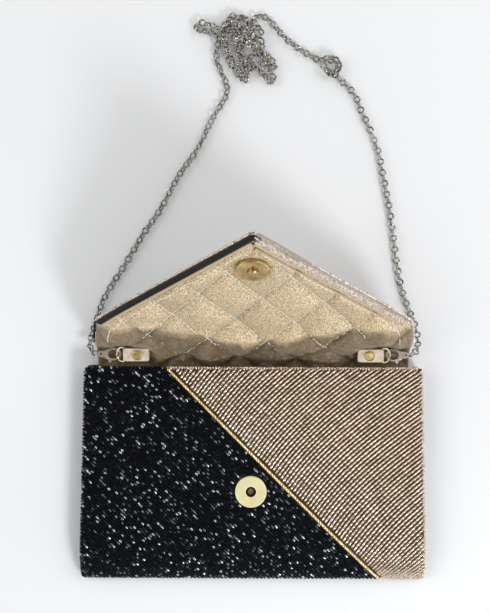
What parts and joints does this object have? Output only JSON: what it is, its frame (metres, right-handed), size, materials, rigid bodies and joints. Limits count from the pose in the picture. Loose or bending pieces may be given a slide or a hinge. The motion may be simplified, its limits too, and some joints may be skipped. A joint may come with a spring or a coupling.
{
  "type": "clutch purse",
  "caption": "Beaded envelope clutch with a quilted pointed flap, magnetic snap and a clip-on chain strap, lying open on its back.",
  "frame": {"origin": "middle of the face that the purse rests on, the outside of its back panel", "axes": "+X along the purse's width, +Y from the bottom edge to the flap, +Z out of the front panel"},
  "size_m": [0.205, 0.3475, 0.1195],
  "materials": {
    "black_beads": "glossy dark glass seed beads, opaque",
    "champagne_beads": "silver-lined champagne bugle beads, opaque",
    "gold_beads": "polished metallic beads",
    "board": "raw stiffener board",
    "lining": "slubby shot silk, quilted on the flap",
    "black_satin": "satin",
    "pearl_trim": "pearly beaded trim",
    "leather": "soft rosy taupe",
    "brass_hardware": "polished pale gold",
    "iron": "dark plated",
    "silver_chain": "antiqued silver"
  },
  "bodies": {
    "purse": {"back_beading_black": "black_beads", "back_beading_champagne": "champagne_beads", "back_gold_bead_line": "gold_beads", "back_board": "board", "lining_back": "lining", "front_beading_black": "black_beads", "front_beading_champagne": "champagne_beads", "front_gold_bead_line": "gold_beads", "front_board": "board", "lining_front": "lining", "gusset_left": "black_satin", "gusset_right": "black_satin", "rim_beading_black": "black_beads", "rim_beading_champagne": "champagne_beads", "rim_gold_bead_line": "gold_beads", "rim_board": "board", "rim_lining": "lining", "fold_tape": "black_satin", "snap_socket_shell": "brass_hardware", "snap_socket_magnet": "iron", "snap_socket_core": "brass_hardware", "snap_socket_backplate": "iron", "tab_left": "leather", "tab_rivet_left": "brass_hardware", "tab_riser_left": "leather", "clasp_frame_left": "silver_chain", "clasp_pin_left": "silver_chain", "tab_right": "leather", "tab_rivet_right": "brass_hardware", "tab_riser_right": "leather", "clasp_frame_right": "silver_chain", "clasp_pin_right": "silver_chain", "chain_left": "silver_chain", "chain_middle": "silver_chain", "chain_right": "silver_chain", "chain_pile": "silver_chain", "chain_knot": "silver_chain"},
    "flap": {"flap_quilted_lining": "lining", "flap_board": "board", "flap_beading_black": "black_beads", "flap_beading_champagne": "champagne_beads", "flap_gold_bead_line": "gold_beads", "flap_edge_right": "pearl_trim", "flap_edge_left": "black_satin", "snap_stud_disc": "brass_hardware", "snap_stud_post": "brass_hardware", "snap_stud_backplate": "iron"},
    "ring_left": {"ring_left": "brass_hardware"},
    "clasp_lever_left": {"clasp_lever_left": "silver_chain"},
    "ring_right": {"ring_right": "brass_hardware"},
    "clasp_lever_right": {"clasp_lever_right": "silver_chain"}
  },
  "joints": [
    {"name": "flap_hinge", "type": "hinge", "parent": "purse", "child": "flap", "pos_m": [0, 0.075, 0.02], "axis": [1, 0, 0], "range_deg": [-60, 122]},
    {"name": "ring_left_swing", "type": "hinge", "parent": "purse", "child": "ring_left", "pos_m": [-0.0758, 0.0709, 0.0136], "axis": [0, 0.9511, 0.309], "range_deg": [-2, 2]},
    {"name": "clasp_left_lever", "type": "hinge", "parent": "purse", "child": "clasp_lever_left", "pos_m": [-0.088, 0.06895, 0.01439], "axis": [0, 0.3746, 0.9272], "range_deg": [0, 5], "stiffness_Nm_per_rad": 0.004},
    {"name": "ring_right_swing", "type": "hinge", "parent": "purse", "child": "ring_right", "pos_m": [0.0758, 0.0709, 0.0136], "axis": [0, 0.9511, 0.309], "range_deg": [-2, 2]},
    {"name": "clasp_right_lever", "type": "hinge", "parent": "purse", "child": "clasp_lever_right", "pos_m": [0.088, 0.06895, 0.01439], "axis": [0, 0.3746, 0.9272], "range_deg": [-5, 0], "stiffness_Nm_per_rad": 0.004}
  ]
}
